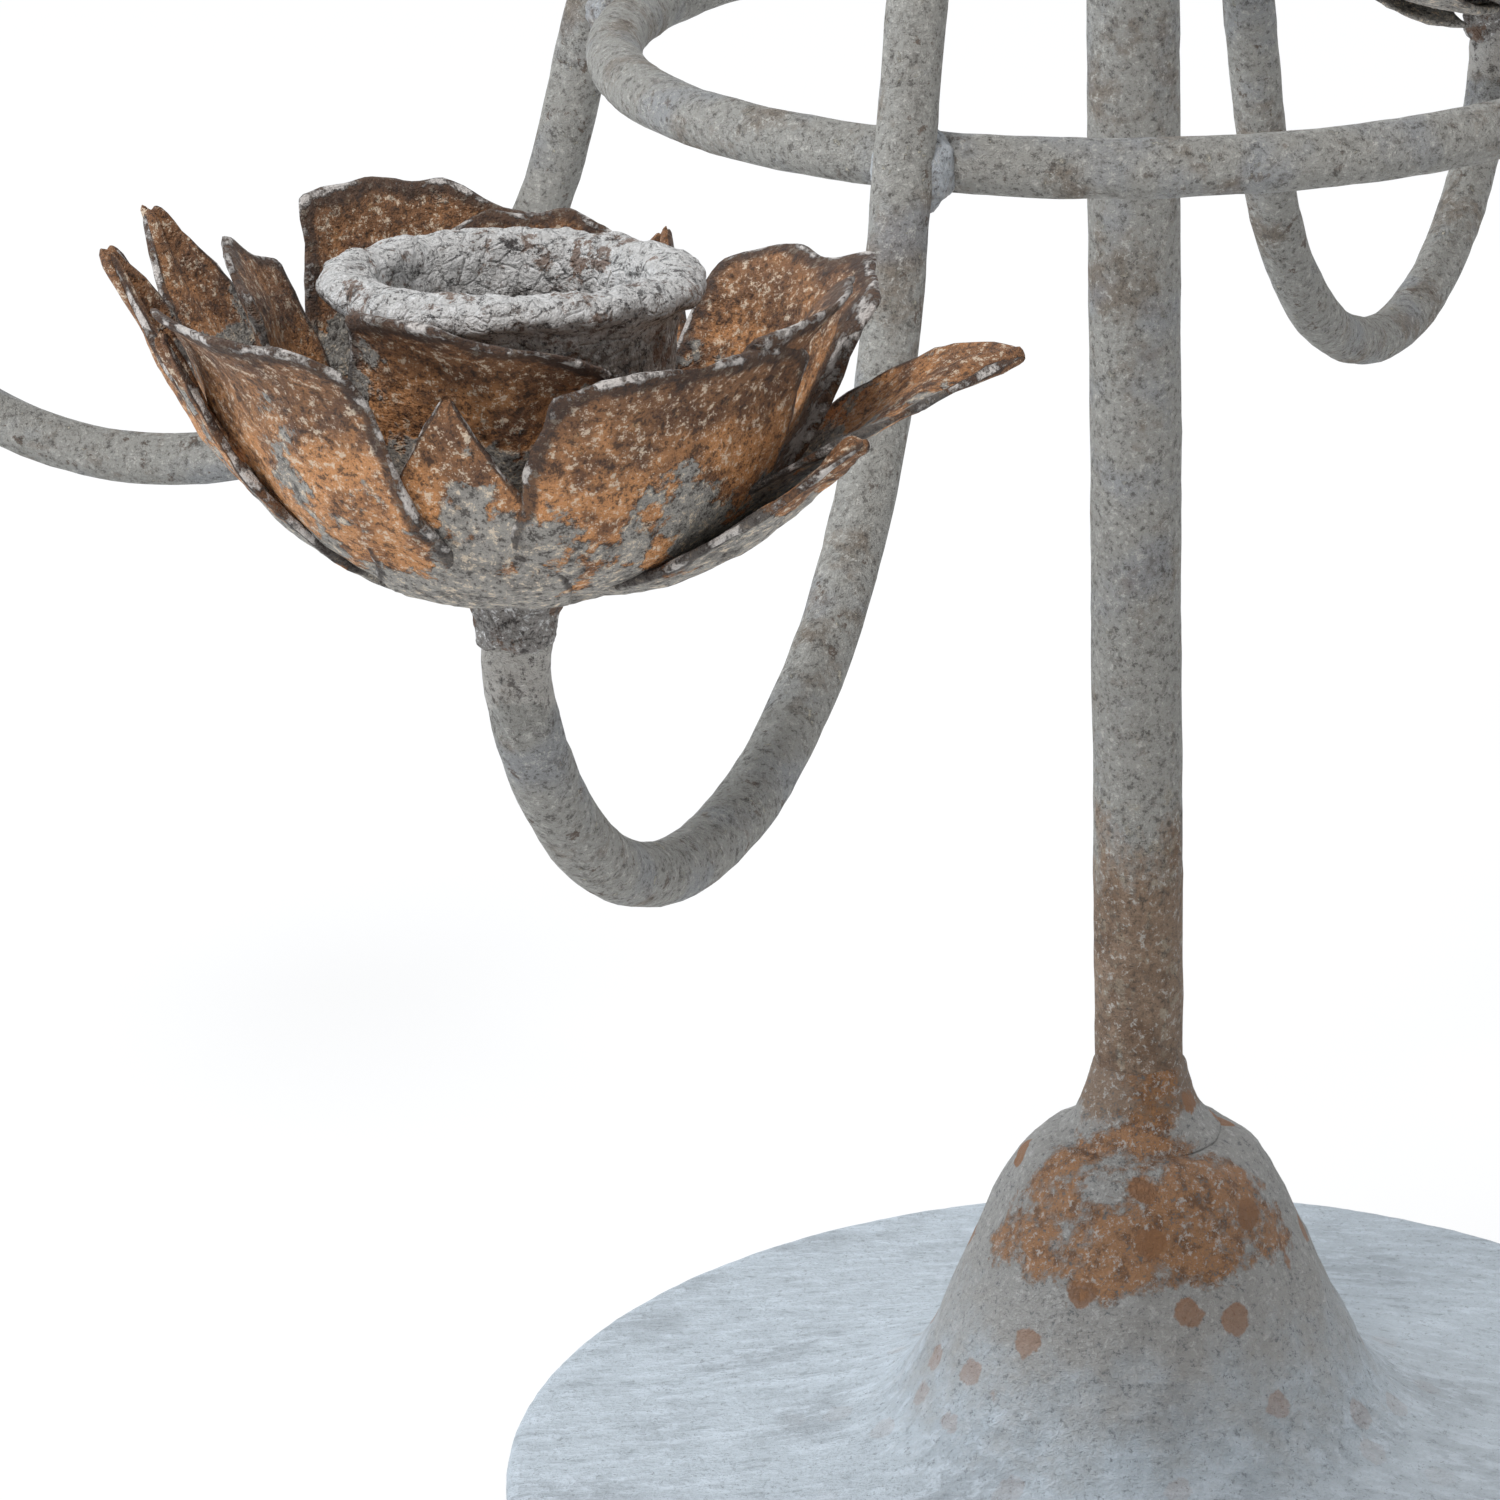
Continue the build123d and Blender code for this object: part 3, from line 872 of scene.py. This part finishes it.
def petal(
    azimuth, tip, belly, widths, floor, pointed, seed,
    wrap=1.15, curl=1.5, ruffle=1.4, roll=0.0, pale=0.0,
):
    bpy.ops.object.select_all(action="DESELECT")
    bpy.ops.mesh.primitive_grid_add(x_subdivisions=16, y_subdivisions=26, size=2)
    piece = bpy.context.object
    settle(piece)
    rise = piece.data.attributes.new("rise", "FLOAT", "POINT")
    edge = piece.data.attributes.new("edge", "FLOAT", "POINT")
    turn = Matrix.Rotation(radians(azimuth), 3, "Z")
    for vertex in piece.data.vertices:
        across = vertex.co.x
        up = (vertex.co.y + 1) / 2
        shoulder = 0.05 * abs(across) ** 3 + 0.03 * uneven(across * 2, seed, 4)
        share = up * (1 - (0.0 if pointed else shoulder))
        radius, height = spine(share, tip, belly)
        width = half_width(share, widths, pointed)
        width *= 1 + 0.10 * uneven(share * 7, seed + across, 0)
        round_about = max(radius, TIGHTEST) * wrap
        angle = across * width / round_about
        lip = max(0.0, (share - LIP_START) / LIP_LENGTH) ** 2
        wave = uneven(across * 1.4, share * 2.2, seed + 9)
        ruff = uneven(across * 3.0, seed, 2)
        radius += ruffle * wave * (0.3 + share) + curl * lip * (1 + 0.8 * ruff)
        rolled = roll * across * width * (1 - 1.5 * share)
        height += ruffle * 0.8 * ruff * share**4 - 0.4 * curl * lip - rolled
        bowed_in = round_about * (1 - cos(angle))
        point = Vector((radius - bowed_in, round_about * sin(angle), height + floor))
        vertex.co = turn @ point * MM
        rise.data[vertex.index].value = share
        rim = 0.0 if pointed else up**14
        # pale widens the edge band over the minus side of the petal, so the finish lays its painted
        # shade and painted highlight wider there.
        widened_side = pale * min(across, 0.0) ** 2
        side = abs(across) ** 5 * min(1.0, share * 2.2)
        edge.data[vertex.index].value = max(side, rim, widened_side)
    sheet = piece.modifiers.new("sheet", "SOLIDIFY")
    sheet.thickness = SHEET
    sheet.offset = 0
    round_off = piece.modifiers.new("round", "SUBSURF")
    round_off.levels = 1
    round_off.render_levels = 1
    apply_all(piece)
    return piece


def join(pieces, name):
    only(pieces[0])
    for piece in pieces:
        piece.select_set(True)
    bpy.ops.object.join()
    whole = bpy.context.object
    whole.name = name
    return whole


# %% [markdown]
# ## One flower
# The flower has three rings: a calyx of pointed leaves, then broad petals, then smaller
# ones that hug the cup. No two petals are alike, so each has its own direction, reach and
# curl. Zero is the right of the flower and minus ninety its front.

# %% Model the flower's rings
CALYX = [
    dict(azimuth=-5, tip=(47, 22.5), belly=(23, 33, 22), widths=(7, 12.5, 0.5),
         curl=0.0, wrap=0.7, roll=0.5),
    dict(azimuth=-29, tip=(35.0, 17.5), belly=(20, 28, 10), widths=(5, 8.5, 0.8),
         curl=0.4, wrap=0.9, roll=0.2),
    dict(azimuth=-104, tip=(25.5, 23.5), belly=(18, 24.5, 9), widths=(7, 9.6, 0.3),
         curl=0.0, wrap=1.0, ruffle=0.5),
    dict(azimuth=-163, tip=(32.5, 26.5), belly=(18, 27, 12), widths=(4, 4.6, 0.4), curl=0.4),
    dict(azimuth=175, tip=(36.5, 31.5), belly=(20, 29, 14), widths=(5, 9.5, 0.4),
         curl=0.4, wrap=0.9, roll=-0.6),
    dict(azimuth=158, tip=(36, 33.5), belly=(20, 28, 16), widths=(5, 10.5, 0.5),
         curl=0.4, wrap=0.9, roll=-0.6),
    dict(azimuth=66, tip=(37, 27.0), belly=(20, 29, 12), widths=(5, 8.0, 0.6), curl=0.6),
]
OUTER = [
    dict(azimuth=-55, tip=(28.5, 26.6), belly=(19, 26, 9), widths=(8, 14.5, 15.5),
         curl=2.2, wrap=1.0),
    dict(azimuth=-146, tip=(31.5, 29.8), belly=(19, 27, 10), widths=(8, 15.0, 16.0),
         curl=4.2, wrap=1.0),
    dict(azimuth=108, tip=(28.5, 33.0), belly=(18, 25, 12), widths=(8, 13.5, 13.5),
         curl=1.4, wrap=1.2, roll=0.35),
    dict(azimuth=28, tip=(33.5, 28.2), belly=(19, 28, 10), widths=(8, 14.5, 13.0),
         curl=3.0, wrap=1.1, pale=1.5),
]
INNER = [
    dict(azimuth=-100, tip=(22.0, 29.0), belly=(14, 20, 12), widths=(5, 12.5, 13.0),
         curl=4.2, wrap=1.0, roll=-0.4),
    dict(azimuth=-22, tip=(30.0, 29.0), belly=(15, 21, 10), widths=(5, 12.0, 11.0),
         curl=2.0, wrap=1.1, pale=1.6),
    dict(azimuth=84, tip=(24.0, 29.0), belly=(14, 20, 12), widths=(4, 10.5, 8.5),
         curl=1.0, wrap=1.1),
    dict(azimuth=172, tip=(25.0, 30.0), belly=(14, 21, 12), widths=(4, 10.0, 8.0),
         curl=1.2, wrap=1.1),
]


SEED_STEP = 3.7


def petal_ring(name, petals, floor, pointed, seed):
    made = []
    for number, shape in enumerate(petals):
        own_seed = seed + number * SEED_STEP
        made.append(petal(**shape, floor=floor, pointed=pointed, seed=own_seed))
    print(name, "has", len(made), "petals")
    return join(made, name)


rings = {
    "calyx": (petal_ring("calyx", CALYX, 0.0, True, 1.3), calyx_finish),
    "outer_petals": (petal_ring("outer", OUTER, 1.0, False, 20.1), outer_finish),
    "inner_petals": (petal_ring("inner", INNER, 2.0, False, 41.9), inner_finish),
}

# %% [markdown]
# ## The candle cup
# The cup is a turned socket with a thick flange. Its flange is where the paint is
# lumpiest, so the lumps are given to the upper points only.

# %% Model the cup
CUP_OUTLINE = [
    (1.2, 8.7), (11.6, 8.7), (12.1, 9.2), (12.25, 14), (12.25, 24), (12.3, 28.0), (12.9, 30.0),
    (14.4, 30.8), (16.4, 30.7), (17.6, 29.9), (18.0, 28.8), (17.5, 27.8), (16.0, 27.1),
    (15.2, 26.2), (15.0, 22), (14.4, 15), (13.8, 9.6), (12.6, 7.6), (8.0, 3.4), (1.2, 3.2),
]
WHITE_FROM = 20
WHITE_FADE = 9
cup_model = turned("cup", CUP_OUTLINE, 64)
give_values(cup_model, "rise", lambda place: (place.z / MM - WHITE_FROM) / WHITE_FADE)
rings["candle_cup"] = (cup_model, cup_finish)

# %% [markdown]
# ## Set a flower on every arm
# Each arm gets its own copy of the rings and the cup, turned a different way so that the
# flowers don't repeat. Lumps are added after that, in place, so each copy wears its own.

# %% Place the flowers
LUMPS = {
    "calyx": [(0.7, 6.0), (0.3, 1.8)],
    "outer_petals": [(0.8, 7.0), (0.3, 1.8)],
    "inner_petals": [(0.8, 6.0), (0.3, 1.8)],
    "candle_cup": [(0.5, 2.2)],
}
FLANGE_FOOT = 24
FLANGE_FADE = 3


def seat_matrix(seat, axis, turn):
    side = level(turn)
    side = (side - axis * side.dot(axis)).normalized()
    back = axis.cross(side)
    turned_axes = Matrix((side, back, axis)).transposed().to_4x4()
    return Matrix.Translation(seat) @ turned_axes


for place_name, (seat, axis, turn) in seats.items():
    to_seat = seat_matrix(seat, axis, turn)
    for ring_name, (model, finish) in rings.items():
        copy = bpy.data.objects.new(f"{ring_name}_{place_name}", model.data.copy())
        scene.collection.objects.link(copy)
        if ring_name == "candle_cup":
            mark_vertices(copy, "flange", lambda place: (place.z / MM - FLANGE_FOOT) / FLANGE_FADE)
        copy.data.transform(to_seat)
        for height, size in LUMPS[ring_name]:
            roughen(copy, height, size)
        if ring_name == "candle_cup":
            roughen(copy, 1.4, 3.2, 3, "flange")
        stand_in(copy, f"flower_{ring_name}_{place_name}", f"{ring_name}_{place_name}", finish)

for model, _ in rings.values():
    bpy.data.objects.remove(model)

# %% [markdown]
# ## Flaked stubs under the cups
# A short sleeve of braze holds each flower, and its thick paint has flaked like bark.

# %% Braze sleeves
STUB_OUTLINE = [
    (2.6, -5.6), (3.6, -5.4), (3.9, -4.6), (4.1, -2.5), (4.5, -0.9), (4.7, -0.1), (2.6, -0.05),
]
STUB_WHITENESS = 0.35
for place_name, (seat, axis, turn) in seats.items():
    stub = turned("stub", STUB_OUTLINE, 40)
    give_values(stub, "rise", lambda place: STUB_WHITENESS)
    stub.data.transform(seat_matrix(seat, axis, turn))
    roughen(stub, 1.3, 2.4, 3)
    stand_in(stub, f"flaked_stub_{place_name}", f"cup_braze_{place_name}", flake_finish)

# %% [markdown]
# ## Pieces that keep their measured solid
# The felt, the washer and the nut need no more than a finish.

# %% Paint what is left
KEPT = {"base_felt": felt_finish, "base_washer": steel_finish, "base_nut": steel_finish}
for node_name, finish in KEPT.items():
    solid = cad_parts[node_name]
    solid.data.materials.clear()
    solid.data.materials.append(finish)
    print(node_name, "keeps its solid")

# %% [markdown]
# ## Floor, light and camera
# The candlestick stands on a pale floor in soft light from the upper left. Where the floor
# is seen, most of its white is its own, so that it reads as white paper, and the rest is
# lit and shows the shadow. Past its edge the world is white too. The camera has the view
# of the photograph: a long lens, looking down.

# %% Which rays see the background
def seen_rays(tree):
    """One for rays from the camera, or passed on by metal or glass, and nought for light."""
    path = tree.nodes.new("ShaderNodeLightPath")
    seen = path.outputs["Is Camera Ray"]
    for kind in ("Is Glossy Ray", "Is Transmission Ray"):
        either = tree.nodes.new("ShaderNodeMath")
        either.operation = "MAXIMUM"
        tree.links.new(seen, either.inputs[0])
        tree.links.new(path.outputs[kind], either.inputs[1])
        seen = either.outputs[0]
    return seen


# %% Floor
FLOOR_SIZE = 12
FLOOR_DROP = 0.2 * MM
PAPER = (0.9, 0.9, 0.9, 1)
OWN_WHITE = 0.82

bpy.ops.object.select_all(action="DESELECT")
bpy.ops.mesh.primitive_plane_add(size=FLOOR_SIZE, location=(0, 0, -FLOOR_DROP))
floor = bpy.context.object
floor.name = "floor"
paper = bpy.data.materials.new("paper floor")
paper.use_nodes = True
tree = paper.node_tree
tree.nodes.clear()
surface = tree.nodes.new("ShaderNodeOutputMaterial")
cover = tree.nodes.new("ShaderNodeMixShader")
matte = tree.nodes.new("ShaderNodeBsdfDiffuse")
matte.inputs["Color"].default_value = PAPER
white = tree.nodes.new("ShaderNodeEmission")
white.inputs["Strength"].default_value = 1.0
part_seen = tree.nodes.new("ShaderNodeMath")
part_seen.operation = "MULTIPLY"
part_seen.inputs[1].default_value = OWN_WHITE
tree.links.new(seen_rays(tree), part_seen.inputs[0])
tree.links.new(part_seen.outputs[0], cover.inputs["Fac"])
tree.links.new(matte.outputs[0], cover.inputs[1])
tree.links.new(white.outputs[0], cover.inputs[2])
tree.links.new(cover.outputs[0], surface.inputs["Surface"])
floor.data.materials.append(paper)
print("floor:", FLOOR_SIZE, "m wide")

# %% The room's own light
SKY_COLOUR = (0.93, 0.96, 1.0, 1)
SKY_STRENGTH = 0.55

world = bpy.data.worlds.new("soft room")
world.use_nodes = True
scene.world = world
room = world.node_tree
sky = room.nodes["Background"]
sky.inputs["Color"].default_value = SKY_COLOUR
sky.inputs["Strength"].default_value = SKY_STRENGTH
backdrop = room.nodes.new("ShaderNodeBackground")
backdrop.inputs["Color"].default_value = (1, 1, 1, 1)
choice = room.nodes.new("ShaderNodeMixShader")
room.links.new(seen_rays(room), choice.inputs["Fac"])
room.links.new(sky.outputs[0], choice.inputs[1])
room.links.new(backdrop.outputs[0], choice.inputs[2])
room.links.new(choice.outputs[0], room.nodes["World Output"].inputs["Surface"])
print("sky strength", SKY_STRENGTH)


# %% Lamps
LAMP_AIM = Vector((0, 0, 0.15))


def lamp(name, place, size, power, colour):
    data = bpy.data.lights.new(name, "AREA")
    data.shape = "DISK"
    data.size = size
    data.energy = power
    data.color = colour
    light = bpy.data.objects.new(name, data)
    scene.collection.objects.link(light)
    light.location = place
    light.rotation_euler = (LAMP_AIM - Vector(place)).to_track_quat("-Z", "Y").to_euler()
    print(name, power, "W")


lamp("key from upper left", (-0.6, -1.1, 1.9), 0.7, 34, (0.97, 0.98, 1.0))
lamp("cool light from the left", (-1.6, 0.2, 0.7), 0.6, 15, (0.82, 0.91, 1.0))
lamp("rim from behind", (0.9, 1.6, 1.0), 1.2, 10, (0.86, 0.93, 1.0))

# %% Camera
BACK_OFF = 708.8 * MM
ABOVE_RING = 168.9 * MM
PITCH = radians(19.84)
YAW = radians(3.77)
ROLL = radians(-1.63)
LENS = 150
SENSOR_WIDTH = 36
NEAREST = 10 * MM
ahead = Vector((-sin(YAW) * cos(PITCH), cos(YAW) * cos(PITCH), -sin(PITCH)))
right = Vector((cos(YAW), sin(YAW), 0))
above = right.cross(ahead)
tilted_right = right * cos(ROLL) + above * sin(ROLL)
tilted_up = above * cos(ROLL) - right * sin(ROLL)
camera_data = bpy.data.cameras.new("camera")
camera_data.lens = LENS
camera_data.sensor_width = SENSOR_WIDTH
camera_data.clip_start = NEAREST
camera = bpy.data.objects.new("camera", camera_data)
scene.collection.objects.link(camera)
stance = Matrix((tilted_right, tilted_up, -ahead)).transposed().to_4x4()
stand = Matrix.Translation((0, -BACK_OFF, RING_HEIGHT + ABOVE_RING))
camera.matrix_world = stand @ stance
scene.camera = camera
scene.view_settings.view_transform = "Standard"
print("camera at", [round(value, 3) for value in camera.location])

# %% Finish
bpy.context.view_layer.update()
